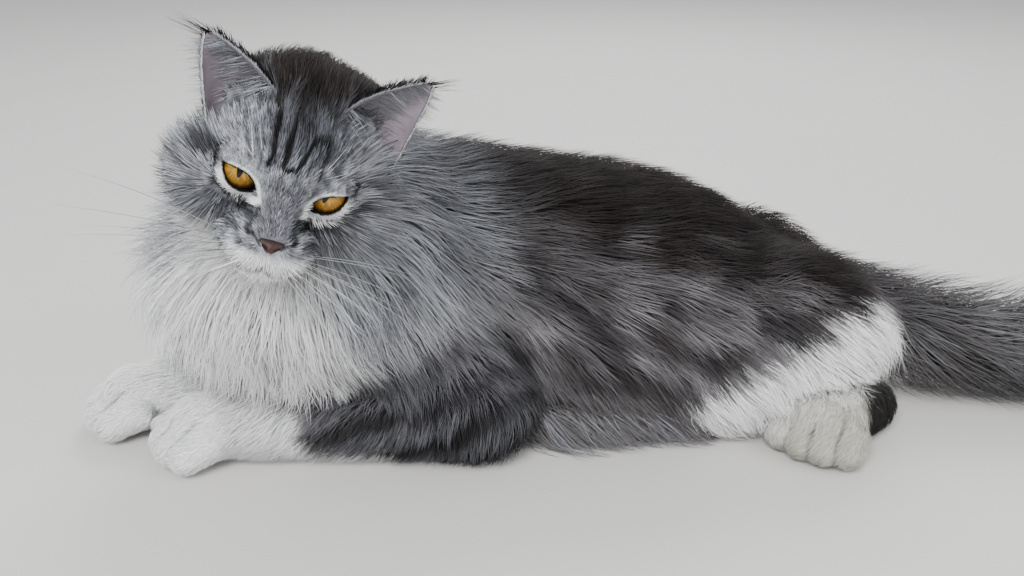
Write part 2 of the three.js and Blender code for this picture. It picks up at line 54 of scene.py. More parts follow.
def unit(v):
    return v / np.maximum(np.linalg.norm(v, axis=-1, keepdims=True), 1e-9)


def dot(a, b):
    return np.sum(a * b, axis=-1, keepdims=True)


def spread(low, high, count):
    return low + (high - low) * chance.random(count)


def waves(p, size, seed, parts=7):
    """Smooth noise from -1 to 1: a few plane waves in seeded directions."""
    draw = np.random.default_rng(seed)
    ways = unit(draw.normal(size=(parts, 3))) * draw.uniform(0.6, 1.6, (parts, 1)) / size * 6
    phases = draw.uniform(0, 6.28, parts)
    return np.clip(np.sin(p @ ways.T + phases).sum(-1) / math.sqrt(parts), -1.4, 1.4) / 1.4


# Flesh: signed distances, with the share of the coat's depth that is added to them
BODY_BLEND = 34
LIMB_BLEND = 14
HEAD_BLEND = 11
PAW_BLEND = 5
HEAD_AT = np.array([-225.0, -92.0, 211.0])
HEAD_HEADING, HEAD_ROLL, HEAD_NOD = 6, 22.5, 14
EYE = (21.5, -29.0, 0.0)
EYE_RADIUS = 10.8
EYE_SLANT = {1: math.radians(33), -1: math.radians(26)}
GAP = 0.3
LID = 1.6


def ellipsoid(centre, radii, coat):
    centre, radii = np.array(centre, float), np.array(radii, float)

    def distance(p, share):
        grown = radii + coat * np.asarray(share, float)[..., None]
        q = (p - centre) / grown
        k0 = np.linalg.norm(q, axis=-1)
        k1 = np.linalg.norm(q / grown, axis=-1)
        return k0 * (k0 - 1) / np.maximum(k1, 1e-9)

    return distance


def cone(start, end, radii, coats):
    start = np.array(start, float)
    along = np.array(end, float) - start

    def distance(p, share):
        t = np.clip((p - start) @ along / (along @ along), 0, 1)
        radius = lerp(*radii, t) + share * lerp(*coats, t)
        return np.linalg.norm(p - start - t[..., None] * along, axis=-1) - radius

    return distance


def blended(fields, soft):
    def distance(p, share):
        d = fields[0](p, share)
        for field in fields[1:]:
            n = field(p, share)
            h = np.maximum(soft - np.abs(d - n), 0)
            d = np.minimum(d, n) - h * h / (4 * soft)
        return d

    return distance


def turn(axis, degrees):
    return np.array(Matrix.Rotation(math.radians(degrees), 3, axis))


HEAD_TURN = turn("Z", HEAD_HEADING) @ turn("Y", HEAD_ROLL) @ turn("X", HEAD_NOD)


def to_head(p):
    return (p - HEAD_AT) @ HEAD_TURN


def from_head(q):
    return np.asarray(q, float) @ HEAD_TURN.T + HEAD_AT


def head_way(v):
    return np.asarray(v, float) @ HEAD_TURN.T


torso = blended(
    [
        ellipsoid([-95, 0, 90], [125, 66, 80], 18),
        ellipsoid([-150, 0, 128], [62, 46, 44], 20),
        ellipsoid([-5, -4, 72], [92, 74, 76], 18),
        ellipsoid([92, -10, 50], [80, 64, 42], 20),
        ellipsoid([-222, -2, 84], [54, 46, 56], 30),
    ],
    BODY_BLEND,
)
neck = blended(
    [
        cone([-165, -6, 116], [-212, -60, 176], [56, 42], [26, 30]),
        ellipsoid([-248, -2, 108], [50, 40, 46], 44),
        ellipsoid([-228, -52, 140], [44, 36, 42], 36),
    ],
    BODY_BLEND,
)
TAIL_PATH = [[150, -8, 62], [205, -34, 44], [280, -54, 40], [380, -70, 38], [470, -100, 26]]
TAIL_RADII = [20, 13, 10, 8, 5]
TAIL_COATS = [20, 40, 42, 36, 18]
tail = blended(
    [
        cone(TAIL_PATH[i], TAIL_PATH[i + 1], TAIL_RADII[i : i + 2], TAIL_COATS[i : i + 2])
        for i in range(4)
    ],
    LIMB_BLEND,
)
skull = blended(
    [
        ellipsoid([0, 6, 0], [36, 45, 33], 4),
        ellipsoid([4, 22, 23], [27, 23, 18], 12),
        ellipsoid([30, 25, 22], [19, 17, 17], 5),
        ellipsoid([-23, 25, 15], [19, 17, 15], 5),
        ellipsoid([0, -20, 12], [27, 22, 20], 3),
        cone([0, -28, 0], [0, -47, -19], [14, 9.5], [2, 2]),
        ellipsoid([0, -42, -39], [11, 12, 8], 4),
        cone([0, -26, -29], [0, 6, -26], [17, 26], [4, 18]),
        ellipsoid([28, -4, -18], [20, 24, 18], 20),
        ellipsoid([-28, -4, -18], [20, 24, 18], 20),
        ellipsoid([9.5, -46, -28], [13, 13, 10], 3),
        ellipsoid([-9.5, -46, -28], [13, 13, 10], 3),
    ],
    HEAD_BLEND,
)
lid_ball = [EYE_RADIUS + GAP + LID] * 3
lids = [ellipsoid([side * EYE[0], EYE[1], EYE[2]], lid_ball, 1.5) for side in (1, -1)]
lidded = blended([skull, *lids], 3)


def head(p, share):
    return lidded(to_head(p), share)


def paw(wrist, palm, heading, length, width, height, toe):
    heading = math.radians(heading)
    forward = np.array([-math.cos(heading), -math.sin(heading), 0])
    across = np.array([-forward[1], forward[0], 0])
    forms = [cone(wrist, palm, [16, 19], [6, 5])]
    toes = []
    for i in (-1.5, -0.5, 0.5, 1.5):
        tip = np.array(palm) + forward * length * (0.72 - 0.09 * i * i) + across * i * width * 0.56
        root = tip - forward * length * 0.5
        tip[2], root[2] = 0.72 * height, height
        toes.append(cone(root, tip, [toe * 1.05, toe], [4, 4]))
    return blended([*forms, *toes], PAW_BLEND), toes


def foreleg(shoulder, elbow, wrist):
    raised = [elbow[0], elbow[1], elbow[2] + 8]
    return cone(shoulder, raised, [36, 26], [16, 12]), cone(elbow, wrist, [24, 17], [16, 14])


def thigh(middle, knee):
    forms = [ellipsoid(middle, [62, 38, 50], 18), ellipsoid(knee, [30, 21, 32], 14)]
    return blended(forms, LIMB_BLEND)


left_arm = foreleg([-178, -48, 100], [-122, -62, 30], [-262, -40, 24])
right_arm = foreleg([-178, 44, 100], [-142, 58, 30], [-312, 18, 24])
forepaw = {"length": 32, "width": 24, "height": 18, "toe": 9.5}
hindpaw = {"length": 25, "width": 25, "height": 16, "toe": 8.5}
paws_and_toes = [
    paw([-262, -40, 24], [-297, -34, 22], 22, **forepaw),
    paw([-312, 18, 24], [-347, 12, 22], 14, **forepaw),
    paw([138, -74, 17], [94, -97, 18], 46, **hindpaw),
    paw([140, 56, 17], [62, 76, 18], -8, **hindpaw),
]
thighs = [thigh([80, -48, 62], [42, -66, 40]), thigh([80, 40, 62], [38, 62, 40])]
paws = [whole for whole, _ in paws_and_toes]
toes = [toe for _, four in paws_and_toes for toe in four]
body = blended([torso, neck, tail, *left_arm, *right_arm, *thighs], LIMB_BLEND)
cat = blended([body, head, *paws], LIMB_BLEND)
regions = {
    "torso": torso,
    "neck": neck,
    "tail": tail,
    "arm": blended([left_arm[0], right_arm[0]], LIMB_BLEND),
    "forearm": blended([left_arm[1], right_arm[1]], LIMB_BLEND),
    "thigh": blended(thighs, LIMB_BLEND),
    "forepaw": blended(paws[:2], LIMB_BLEND),
    "hindpaw": blended(paws[2:], LIMB_BLEND),
    "head": head,
}
ORDER = list(regions)


def toe_crease_shade(p):
    """Painted shade in the creases between toes: 1 there, 0 elsewhere."""
    d = np.sort(np.stack([toe(p, 0.5) for toe in toes], -1), -1)
    return np.exp(-(((d[:, 1] - d[:, 0]) / 1.1) ** 2)) * (1 - smooth(3, 8, d[:, 0]))


def outward(field, p, share):
    corners = np.array([[1, -1, -1], [-1, -1, 1], [-1, 1, -1], [1, 1, 1]], float)
    return unit(sum(corner * field(p + 0.6 * corner, share)[:, None] for corner in corners))


def blend_of_regions(p, soft=9.0):
    """How much each region has a say at each point, from how near its flesh is."""
    d = np.stack([field(p, 0.3) for field in regions.values()], -1)
    w = np.exp(-(d - d.min(-1, keepdims=True)) / soft)
    return w / w.sum(-1, keepdims=True)


# Skin: one closed surface round the flesh, netted from its distances


def surface_net(field, low, high, step):
    axes = [np.arange(a, b, step) for a, b in zip(low, high)]
    size = np.array([len(a) for a in axes])
    values = np.empty(size)
    yy, zz = np.meshgrid(axes[1], axes[2], indexing="ij")
    for i, x in enumerate(axes[0]):
        p = np.stack([np.full_like(yy, x), yy, zz], -1).reshape(-1, 3)
        values[i] = field(p).reshape(yy.shape)
    cells = size - 1
    total = np.zeros((3, cells.prod()))
    hits = np.zeros(cells.prod())
    quads = []
    for axis in range(3):
        u, v = (axis + 1) % 3, (axis + 2) % 3
        lower = np.moveaxis(np.moveaxis(values, axis, 0)[:-1], 0, axis)
        upper = np.moveaxis(np.moveaxis(values, axis, 0)[1:], 0, axis)
        edge = np.argwhere((lower < 0) != (upper < 0))
        whole = (edge[:, u] > 0) & (edge[:, v] > 0) & (edge[:, u] < cells[u]) & (edge[:, v] < cells[v])
        edge = edge[whole]
        a, b = lower[tuple(edge.T)], upper[tuple(edge.T)]
        at = edge.astype(float)
        at[:, axis] += a / (a - b)
        around = []
        for du, dv in ((0, 0), (-1, 0), (-1, -1), (0, -1)):
            cell = edge.copy()
            cell[:, u] += du
            cell[:, v] += dv
            flat = np.ravel_multi_index(cell.T, cells)
            around.append(flat)
            hits += np.bincount(flat, minlength=len(hits))
            for k in range(3):
                total[k] += np.bincount(flat, at[:, k], minlength=len(hits))
        quad = np.stack(around, 1)
        quad[a > 0] = quad[a > 0][:, ::-1]
        quads.append(quad)
    used, faces = np.unique(np.concatenate(quads), return_inverse=True)
    vertices = np.array(low) + step * (total[:, used] / hits[used]).T
    return vertices, faces.reshape(-1, 4)


# Ears: the places of their cups, in the head's frame
EARS = {
    1: {"base": (34, 1, 8), "tip": (54.6, -3, 63), "facing": (0.08, -1, 0.1), "width": 22},
    -1: {"base": (-21, 1, 4), "tip": (-53, -3, 50), "facing": (0.0, -1, 0.15), "width": 20.5},
}
EAR_DEPTH, EAR_FRONT, EAR_WALL = 12, 5, 1.1


def ear_axes(side):
    base, tip, facing = (np.array(EARS[side][key], float) for key in ("base", "tip", "facing"))
    along = tip - base
    out = facing - dot(facing, unit(along)) * unit(along)
    across = unit(np.cross(along, out))
    return base, along, across * np.sign(across[0] * side), unit(out)


def ear_place(side, q):
    """Places in an ear's own terms: share of the way to its tip, across it, and out to its front."""
    base, along, across, out = ear_axes(side)
    off = q - base
    return off @ along / (along @ along), off @ across / EARS[side]["width"], off @ out


def ear_hollow(side, q):
    """Signed distance to the room inside an ear's cup."""
    rising, astride, proud = ear_place(side, q)
    width = EARS[side]["width"]
    deep = 0.9 * EAR_DEPTH * np.clip(1 - rising, 0, 1) ** 0.66 * np.sqrt(np.clip(1 - astride**2, 0, 1))
    walls = np.maximum(-proud - deep, proud - 3)
    return np.maximum(walls, np.maximum(60 * (0.03 - rising), width * (np.abs(astride) - 0.96)))


def soft_cut(d, cutter, soft):
    h = np.maximum(soft - np.abs(d + cutter), 0)
    return np.maximum(d, -cutter) + h * h / (4 * soft)


UPPER_LID, LOWER_LID, HALF_EYE = 4.5, 4.7, 10.2


def eye_plane(q, side):
    """Seen from the front: how far to the outer corner, and how far above the line of the corners."""
    along = (q[:, 0] - side * EYE[0]) * side
    lift = q[:, 2] - EYE[2] + 0.6
    slant = EYE_SLANT[side]
    u = along * math.cos(slant) + lift * math.sin(slant)
    w = lift * math.cos(slant) - along * math.sin(slant)
    return u, w


def eye_opening(q, side):
    """Signed distance, seen from the front, to the almond between the lids."""
    u, w = eye_plane(q, side)
    bow = 1 - (u / HALF_EYE) ** 2
    return np.maximum(w - UPPER_LID * bow, -w - LOWER_LID * bow)


def from_eye(q, side):
    return np.linalg.norm(q - np.array([side * EYE[0], EYE[1], EYE[2]]), axis=-1)


MOUTH = [(0, -25), (0, -33), (5, -36.5), (12, -37), (19, -34)]


def from_line(points, x, z):
    """Distance on a plane from a line through the given points."""
    nearest = np.full(len(x), 1e9)
    for (x0, z0), (x1, z1) in zip(points, points[1:]):
        dx, dz = x1 - x0, z1 - z0
        t = np.clip(((x - x0) * dx + (z - z0) * dz) / (dx * dx + dz * dz), 0, 1)
        nearest = np.minimum(nearest, np.hypot(x - x0 - t * dx, z - z0 - t * dz))
    return nearest


def head_skin(q):
    flesh = lidded(q, 0)
    d = flesh
    for side in (1, -1):
        ball = from_eye(q, side) - EYE_RADIUS - GAP
        slot = np.maximum(eye_opening(q, side), q[:, 1] - EYE[1])
        d = soft_cut(np.maximum(d, -ball), slot, 0.8)
        d = soft_cut(d, ear_hollow(side, q), 1.0)
    line = from_line(MOUTH, np.abs(q[:, 0]), q[:, 2])
    groove = np.hypot(line, flesh) - 1.1
    groove = np.where(q[:, 1] < -30, groove, 9)
    return soft_cut(d, groove, 1.0)


def body_skin(p):
    apart = np.linalg.norm(p - from_head([0, 0, 0]), axis=-1) - 26
    return np.maximum(blended([body, *paws], LIMB_BLEND)(p, 0), -apart)


SKIN_FLOOR = 0.3
body_points, body_quads = surface_net(body_skin, (-400, -160, -6), (500, 120, 240), 3.1)
head_points, head_quads = surface_net(head_skin, (-64, -66, -70), (64, 66, 56), 0.95)
skin_points = np.concatenate([body_points, from_head(head_points)])
skin_points[:, 2] = np.maximum(skin_points[:, 2], SKIN_FLOOR)
skin_quads = np.concatenate([body_quads, head_quads + len(body_points)])

# Markings and painted shade: the same for skin and coat


def paint(*rgb):
    c = np.array(rgb) / 255
    return np.where(c <= 0.04045, c / 12.92, ((c + 0.055) / 1.055) ** 2.4)


WHITE = paint(250, 251, 251)
PALE = paint(182, 186, 193)
SILVER = paint(138, 141, 149)
GREY = paint(84, 83, 88)
BEIGE = paint(112, 106, 104)
BROWN = paint(44, 36, 33)
DARK = paint(15, 14, 15)


def mix(a, b, t):
    return a + (b - a) * t[:, None]


def stroke(points, half, x, z):
    return 1 - smooth(half * 0.5, half * 1.5, from_line(points, x, z))


# Strokes on the face: points (x, z) in the head's frame, half width, strength
FACE_DARK = [
    ([(-15, 8), (-16, 16), (-17, 23)], 0.8, 0.6),
    ([(-12, 12), (-11, 19), (-12, 25), (-13, 32)], 1.2, 0.95),
    ([(-5, 14), (-5, 22), (-5, 28), (-3, 34)], 1.6, 0.95),
    ([(-3, 13), (2, 14), (3, 20), (5, 25), (8, 28), (13, 27)], 1.3, 0.95),
    ([(13, 13), (12, 18), (14, 24)], 0.8, 0.8),
    ([(1, 30), (2, 40)], 3.5, 0.7),
    ([(20, 14), (23, 20), (29, 24)], 1.0, 0.4),
    ([(-22, 14), (-25, 20), (-28, 23)], 1.0, 0.4),
    ([(-31, 3), (-36, 1), (-43, -4)], 2.3, 0.85),
    ([(32, 5), (40, 4), (49, -2)], 1.8, 0.7),
    ([(-11, -6), (-10, -12), (-12, -18)], 1.2, 0.8),
    ([(11, -7), (9, -12), (10, -18)], 1.2, 0.8),
    ([(-14, -13), (-22, -14), (-31, -11)], 2.6, 0.8),
    ([(13, -13), (23, -14), (32, -8), (40, -3)], 2.4, 0.9),
    ([(-17, -20), (-25, -21), (-33, -19)], 1.9, 0.55),
    ([(17, -20), (26, -21), (36, -16)], 2.2, 0.7),
    ([(27, -27), (36, -29), (46, -24), (50, -12)], 2.0, 0.5),
    ([(-28, -27), (-37, -28), (-44, -22)], 1.8, 0.4),
]


def eye_ring(q, side):
    """White round an eye: broad below it and at its inner corner, thin above."""
    u, w = eye_plane(q, side)
    off = eye_opening(q, side)
    broad = 0.5 + 3.3 * (1 - smooth(-4, 1, w)) + 1.2 * (1 - smooth(-8, -2, u))
    reach = 1 - smooth(7, 13, u)
    return smooth(0.9, 1.7, off) * (1 - smooth(broad + 0.8, broad + 2.6, off)) * reach * (u > -15)


def face_colour(q):
    x, y, z = np.abs(q[:, 0]), q[:, 1], q[:, 2]
    u, w = q[:, 0] + 0.9 * waves(q, 13, 21), z + 1.0 * waves(q, 12, 22)
    front = 1 - smooth(-20, 25, y)
    colour = mix(PALE, GREY, 0.5 + 0.4 * waves(q, 8, 23))
    brow = smooth(8, 24, z + 3 * waves(q, 14, 24)) * (1 - smooth(12, 27, np.abs(q[:, 0] - 1)))
    crown = smooth(20, 37, z + 5 * waves(q, 9, 25)) * smooth(-26, -6, y)
    nape = smooth(10, 40, y) * smooth(-20, 10, z)
    colour = mix(colour, paint(56, 57, 64), 0.85 * brow)
    dark = np.maximum(0.97 * crown, 0.85 * nape)
    colour = mix(colour, lerp(DARK, BROWN, 0.6), dark)
    bridge = (1 - smooth(6, 10, x)) * smooth(-22, -18, z) * (1 - smooth(2, 12, z)) * front
    colour = mix(colour, paint(104, 105, 112), 0.8 * bridge)
    for points, half, strength in FACE_DARK:
        colour = mix(colour, DARK, strength * stroke(points, half, u, w) * front)
    colour = mix(colour, WHITE, np.maximum(eye_ring(q, 1), eye_ring(q, -1)) * front)
    muzzle = (1 - smooth(15, 23, x)) * (1 - smooth(-27, -23, z)) * (1 - smooth(-34, -24, y))
    chin = (1 - smooth(-38, -31, z)) * (1 - smooth(24, 42, x))
    colour = mix(colour, WHITE, np.maximum(0.95 * muzzle, 0.95 * chin))
    # Painted shadow in the crease beside each wing of the nose.
    nose_crease_shadow = stroke([(5, -21), (9, -17.5), (12, -18.5)], 0.7, x, z) * (1 - smooth(-50, -42, y))
    colour = mix(colour, DARK, 0.8 * nose_crease_shadow)
    lip = stroke(MOUTH[1:], 1.0, x, z) * (1 - smooth(-40, -30, y))
    colour = mix(colour, paint(120, 112, 116), 0.8 * lip)
    rim = np.minimum(np.abs(eye_opening(q, 1)), np.abs(eye_opening(q, -1)))
    near = np.minimum(from_eye(q, 1), from_eye(q, -1))
    liner = (1 - smooth(0.8, 1.7, rim)) * (1 - smooth(13.5, 15, near)) * front
    return mix(colour, paint(14, 11, 11), liner)


def body_colour(p, share):
    x, y, z = p.T
    ridge = np.interp(x, [-190, -100, 0, 100, 160], [205, 186, 166, 130, 104])
    high = z / ridge + 0.07 * waves(p, 50, 1)
    across = 0.75 * x + 0.65 * z + 12 * waves(p, 60, 2)
    bars = smooth(-0.15, 0.6, np.sin(across / 6.8)) * smooth(-0.5, 0.3, waves(p, 36, 3))
    back = smooth(0.62, 0.88, high)
    colour = mix(paint(120, 117, 121), paint(52, 48, 48), 0.5 + 0.5 * waves(p, 26, 4))
    colour = mix(colour, DARK, 0.72 * bars * smooth(0.15, 0.4, high))
    colour = mix(colour, BROWN, 0.85 * back)
    colour = mix(colour, DARK, 0.75 * back * (0.75 + 0.25 * waves(p, 35, 5)))
    colour = mix(colour, BEIGE, 0.85 * (1 - smooth(18, 52, z)))

    arm = share["arm"] + share["forearm"]
    slope = 0.45 * x - 0.85 * z + 4 * waves(p, 40, 6)
    arm_bars = smooth(-0.2, 0.6, np.sin(slope / 4.0))
    arm_colour = mix(lerp(SILVER, GREY, 0.8), DARK, 0.3 + 0.65 * arm_bars)
    colour = mix(colour, arm_colour, arm * (1 - smooth(80, 105, z)))

    tail_colour = mix(paint(92, 91, 93), BROWN, 0.2 + 0.2 * np.sin(x / 9 + 2 * waves(p, 60, 7)))
    colour = mix(colour, tail_colour, share["tail"])

    ruff = mix(PALE, GREY, 0.2 + 0.3 * waves(p, 26, 8))
    ruff = mix(ruff, GREY, 0.45 * smooth(150, 190, z))
    ruff = mix(ruff, DARK, 0.6 * smooth(-190, -150, x) * smooth(100, 160, z))
    behind = smooth(-250, -215, x) * smooth(80, 120, z) * smooth(-30, 20, y)
    ruff = mix(ruff, lerp(DARK, BROWN, 0.5), 0.85 * behind)
    colour = mix(colour, ruff, share["neck"])
    bib = np.linalg.norm((p - [-266, -88, 100]) / [66, 66, 64], axis=-1) + 0.08 * waves(p, 20, 9)
    on_chest = np.maximum(share["neck"], 0.6 * share["torso"])
    colour = mix(colour, WHITE, (1 - smooth(0.85, 1.12, bib)) * on_chest)

    sock = smooth(0, 8, 3 * waves(p, 18, 10) - (x + 221 + 0.28 * z))
    sock = np.maximum(sock, (1 - smooth(9, 14, z)) * (1 - smooth(-182, -170, x)))
    colour = mix(colour, WHITE, sock * np.maximum(arm, share["forepaw"]))
    colour = mix(colour, WHITE, share["forepaw"])

    edge = np.minimum(46 + 0.465 * (x - 11), 88) + 5 * waves(p, 22, 12)
    side = smooth(34, 52, np.abs(y + 8))
    hind = smooth(-5, 5, edge - z) * smooth(2, 14, x) * side * (1 - smooth(158, 175, x))
    colour = mix(colour, WHITE, hind)
    # Hind paws: cream, darkened further by painted shade.
    colour = mix(colour, paint(190, 187, 176), share["hindpaw"])
    heel = smooth(118, 126, x) * (1 - smooth(34, 48, z)) * side * (1 - smooth(165, 180, x))
    colour = mix(colour, DARK, 0.97 * heel)
    # Painted shade darkens the creases between the toes.
    return colour * (1 - 0.6 * toe_crease_shade(p))[:, None]


def coat_colour(p):
    w = blend_of_regions(p)
    share = dict(zip(regions, w.T))
    colour = body_colour(p, share)
    return mix(colour, face_colour(to_head(p)), share["head"])


# Unwrap for the bake: each region has a tile, with the angle round its length and the place along it
TILES = {
    "torso": (0, 80, -290, 190),
    "neck": (-28, 120, -310, -130),
    "tail": (-50, 50, 120, 500),
    "arm": (0, 60, -230, -80),
    "forearm": (0, 26, -340, -90),
    "thigh": (-4, 55, 0, 170),
    "forepaw": (-10, 20, -400, -240),
    "hindpaw": (-8, 20, 30, 170),
    "head": (0, 0, -70, 70),
}
PAIRED = ("arm", "forearm", "thigh", "forepaw", "hindpaw")
PATCH = 0.003


def unwrap(p, region):
    """Where each point falls on the unwrap, given its region's number."""
    table = np.array(list(TILES.values()), float)[region]
    of_head = region == ORDER.index("head")
    q = to_head(p)
    x = np.where(of_head, q[:, 1], p[:, 0])
    y = np.where(of_head, q[:, 0], p[:, 1])
    z = np.where(of_head, q[:, 2], p[:, 2])
    paired = np.isin(region, [ORDER.index(name) for name in PAIRED])
    side = np.sign(y - table[:, 0])
    middle = np.where(paired, table[:, 0] + side * 45, table[:, 0])
    angle = np.arctan2(y - middle, z - table[:, 1]) / (2 * math.pi) + 0.5
    angle = np.where(paired, 0.25 * (1 + side) + angle / 2, angle)
    along = (x - table[:, 2]) / (table[:, 3] - table[:, 2])
    tile = np.stack([region % 3, region // 3], -1)
    return (tile + 0.03 + 0.94 * np.clip(np.stack([angle, along], -1), 0, 1)) / 3


# Meshes and materials


def mesh_piece(name, points, faces, colours=None, uvs=None, normals=None):
    mesh = bpy.data.meshes.new(name)
    mesh.vertices.add(len(points))
    mesh.vertices.foreach_set("co", (np.asarray(points) / 1000).astype(np.float32).ravel())
    mesh.loops.add(faces.size)
    mesh.loops.foreach_set("vertex_index", faces.astype(np.int32).ravel())
    mesh.polygons.add(len(faces))
    mesh.polygons.foreach_set("loop_start", np.arange(0, faces.size, faces.shape[1], dtype=np.int32))
    mesh.update(calc_edges=True)
    mesh.polygons.foreach_set("use_smooth", np.ones(len(faces), bool))
    if colours is not None:
        layer = mesh.attributes.new("Fur", "FLOAT_COLOR", "POINT")
        rgba = np.concatenate([np.clip(colours, 0, 1), np.ones((len(points), 1))], 1)
        layer.data.foreach_set("color", rgba.astype(np.float32).ravel())
    if uvs is not None:
        layer = mesh.uv_layers.new(name="OFBake")
        layer.uv.foreach_set("vector", uvs[faces.ravel()].astype(np.float32).ravel())
    if normals is not None:
        mesh.normals_split_custom_set_from_vertices(normals.astype(np.float32))
    piece = bpy.data.objects.new(name, mesh)
    bpy.context.scene.collection.objects.link(piece)
    return piece


def finish_piece(piece, material, slot, *replaced):
    piece.data.materials.append(material)
    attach(piece, "root")
    if replaced:
        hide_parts(*replaced)


def new_material(name, roughness, specular=0.3, sheen=0.0, coat=0.0):
    material = bpy.data.materials.new(name)
    material.use_nodes = True
    nodes, links = material.node_tree.nodes, material.node_tree.links
    shader = nodes["Principled BSDF"]
    shader.inputs["Roughness"].default_value = roughness
    shader.inputs["Specular IOR Level"].default_value = specular
    shader.inputs["Sheen Weight"].default_value = sheen
    shader.inputs["Coat Weight"].default_value = coat
    return material, nodes, links, shader


def noise(nodes, links, scale, detail=3.0):
    place = nodes.new("ShaderNodeTexCoord")
    texture = nodes.new("ShaderNodeTexNoise")
    texture.inputs["Scale"].default_value = scale
    texture.inputs["Detail"].default_value = detail
    links.new(place.outputs["Object"], texture.inputs["Vector"])
    return texture.outputs["Fac"]


def shaded(nodes, links, colour, amount, low, high):
    """A colour made darker and lighter by a number from 0 to 1."""
    span = nodes.new("ShaderNodeMapRange")
    span.inputs["To Min"].default_value = low
    span.inputs["To Max"].default_value = high
    links.new(amount, span.inputs["Value"])
    scaled = nodes.new("ShaderNodeVectorMath")
    scaled.operation = "SCALE"
    links.new(colour, scaled.inputs[0])
    links.new(span.outputs["Result"], scaled.inputs["Scale"])
    return scaled.outputs["Vector"]


def painted(nodes, links, shader, amount, low, high):
    """The mesh's own colour, made darker and lighter by a number from 0 to 1."""
    attribute = nodes.new("ShaderNodeAttribute")
    attribute.attribute_name = "Fur"
    tone = shaded(nodes, links, attribute.outputs["Color"], amount, low, high)
    links.new(tone, shader.inputs["Base Color"])


def bump(nodes, links, shader, height, strength, depth):
    relief = nodes.new("ShaderNodeBump")
    relief.inputs["Strength"].default_value = strength
    relief.inputs["Distance"].default_value = depth
    links.new(height, relief.inputs["Height"])
    links.new(relief.outputs["Normal"], shader.inputs["Normal"])


def fur_material(name, roughness, fine):
    material, nodes, links, shader = new_material(name, roughness, specular=0.08)
    grain = noise(nodes, links, fine, 4)
    painted(nodes, links, shader, grain, 0.8, 1.2)
    bump(nodes, links, shader, grain, 0.25, 0.0004)
    return material


skin_fur = fur_material("undercoat", 0.85, 900)
long_fur = fur_material("coat_hair", 0.65, 500)

# Coat: closed tapered tufts that climb from the skin to the coat's tips along its lie


LOWEST_HAIR = 1.0
MOST_TRIANGLES = 195000


def settle(p):
    p[..., 2] = np.maximum(p[..., 2], LOWEST_HAIR)


def grow(roots, lie, length, rise, steps, wander):
    """Places, outward directions and ways along each tuft, one row a step."""
    p = roots.copy()
    way = np.zeros_like(p)
    places, outs, ways = [], [], []
    for i in range(steps + 1):
        share = rise * (i / steps) ** 0.65
        out = outward(cat, p, share)
        for _ in range(2):
            p -= cat(p, share)[:, None] * out
        settle(p)
        step = unit(lie(p)) + wander
        step -= dot(step, out) * out
        way = unit(1.2 * way + unit(step))
        places.append(p.copy())
        outs.append(out)
        ways.append(way)
        p = p + way * (length / steps)[:, None]
    return np.stack(places, 1), np.stack(outs, 1), np.stack(ways, 1)


def clumped(roots, places, every, strength):
    """Draws each tuft towards its nearest leader, more and more to the tip."""
    leaders = np.arange(0, len(roots), every)
    tree = kdtree.KDTree(len(leaders))
    for i, k in enumerate(leaders):
        tree.insert(Vector(roots[k]), i)
    tree.balance()
    nearest = np.array([tree.find(Vector(r))[1] for r in roots])
    s = np.linspace(0, 1, places.shape[1])[None, :, None]
    pulled = places[leaders[nearest]] - places
    return places + pulled * strength * s**1.4, leaders[nearest]


def tufts(name, places, outs, ways, width, thickness, colours, uvs, slot):
    """Closed three-sided tufts, joined in one mesh."""
    count, rings = places.shape[:2]
    s = np.linspace(0, 1, rings)
    taper = np.minimum(1, 0.6 + 1.6 * s) * (1 - s**2.2)
    across = unit(np.cross(ways, outs))
    half = (width[:, None] * taper / 2)[..., None]
    tall = (thickness[:, None] * taper / 2)[..., None]
    left = places - across * half - outs * tall * 0.6
    right = places + across * half - outs * tall * 0.6
    top = places + outs * tall
    ring = np.stack([left, right, top], 2)[:, :-1].reshape(count, -1, 3)
    points = np.concatenate([ring, places[:, -1:]], 1)
    per = points.shape[1]
    faces = [(0, 1, 2)]
    for k in range(rings - 2):
        for a, b in ((0, 1), (1, 2), (2, 0)):
            a, b = 3 * k + a, 3 * k + b
            faces += [(a, a + 3, b + 3), (a, b + 3, b)]
    for a, b in ((0, 1), (1, 2), (2, 0)):
        faces.append((3 * (rings - 2) + a, per - 1, 3 * (rings - 2) + b))
    faces = np.array(faces)[None] + (np.arange(count) * per)[:, None, None]
    shades = np.repeat(colours, 3, 1)[:, : per - 1]
    shades = np.concatenate([shades, colours[:, -1:]], 1)
    lean = unit(np.stack([outs - 0.5 * across, outs + 0.5 * across, outs], 2))
    lean = lean[:, :-1].reshape(count, -1, 3)
    normals = unit(np.concatenate([lean, outs[:, -1:]], 1))
    step = PATCH * np.repeat(s[:-1], 3)
    shift = np.tile([-0.5, 0.5, 0.0], rings - 1) * PATCH
    patch = np.stack([np.append(shift, 0.0), np.append(step, PATCH)], -1)
    piece = mesh_piece(
        name,
        points.reshape(-1, 3),
        faces.reshape(-1, 3),
        shades.reshape(-1, 3),
        (uvs[:, None] + patch[None]).reshape(-1, 2),
        normals.reshape(-1, 3),
    )
    finish_piece(piece, long_fur, slot)


def lie_of_face(q):
    """Hair runs back from the nose, and round the eyes and the mouth."""
    way = unit(q - [0, -64, -18]) + [0, 0.55, 0]
    way[:, 2] += np.where(q[:, 2] < -20, -0.35, 0.1)
    crown = smooth(32, 44, q[:, 2]) * smooth(-15, 0, q[:, 1])
    way += crown[:, None] * [0.15, -0.35, 1.2]
    for side in (1, -1):
        off = q - [side * EYE[0], EYE[1] - 4, EYE[2]]
        near = np.exp(-((np.linalg.norm(off, axis=-1) / 17) ** 2))[:, None]
        way += 1.6 * near * unit(off)
    return head_way(unit(way))


